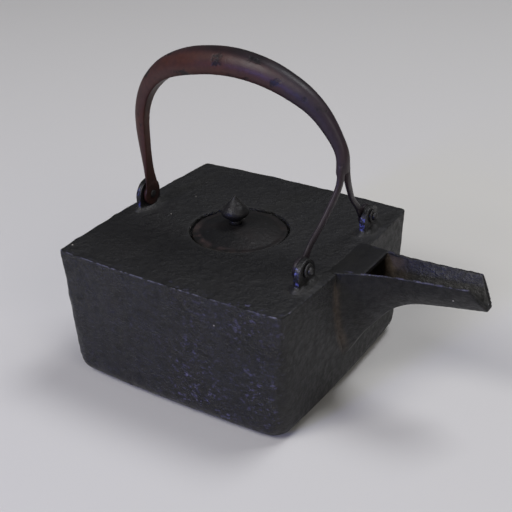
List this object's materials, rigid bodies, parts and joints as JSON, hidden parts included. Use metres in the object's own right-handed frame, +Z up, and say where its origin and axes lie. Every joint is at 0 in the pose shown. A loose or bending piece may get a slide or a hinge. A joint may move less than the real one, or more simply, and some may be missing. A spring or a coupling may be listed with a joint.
{
  "type": "cast iron teapot",
  "caption": "Square cast-iron pouring kettle with a flush round lid, a bud knob, a fixed forked bail handle and an open trough spout.",
  "frame": {"origin": "centre of the flat base face", "axes": "+X is the pouring direction, along the spout; +Y is across the kettle; +Z is up"},
  "size_m": [0.2103, 0.138, 0.1732],
  "materials": {
    "cast_body": "rough as-cast skin",
    "cast_lid": "worn as-cast skin",
    "forged_handle": "smooth brown patina",
    "forged_pins": "hammered and blackened",
    "knob_iron": "smooth, dull sheen"
  },
  "bodies": {
    "kettle": {"kettle_body": "cast_body", "spout": "cast_body", "rear_lug": "cast_body", "right_lug": "cast_body", "left_lug": "cast_body", "handle": "forged_handle", "rear_rivet": "forged_pins", "right_rivet": "forged_pins", "left_rivet": "forged_pins", "rear_washer": "forged_pins", "right_washer": "forged_pins", "left_washer": "forged_pins"},
    "lid": {"lid": "cast_lid"},
    "knob": {"knob": "knob_iron", "knob_collar": "knob_iron", "knob_washer": "forged_pins"}
  },
  "joints": [
    {"name": "lid_lift", "type": "slide", "parent": "kettle", "child": "lid", "axis": [0, 0, 1], "range_m": [0, 0.06]},
    {"name": "knob_turn", "type": "hinge", "parent": "lid", "child": "knob", "pos_m": [-0.0017, 0, 0.078], "axis": [0, 0, 1], "continuous": true}
  ]
}
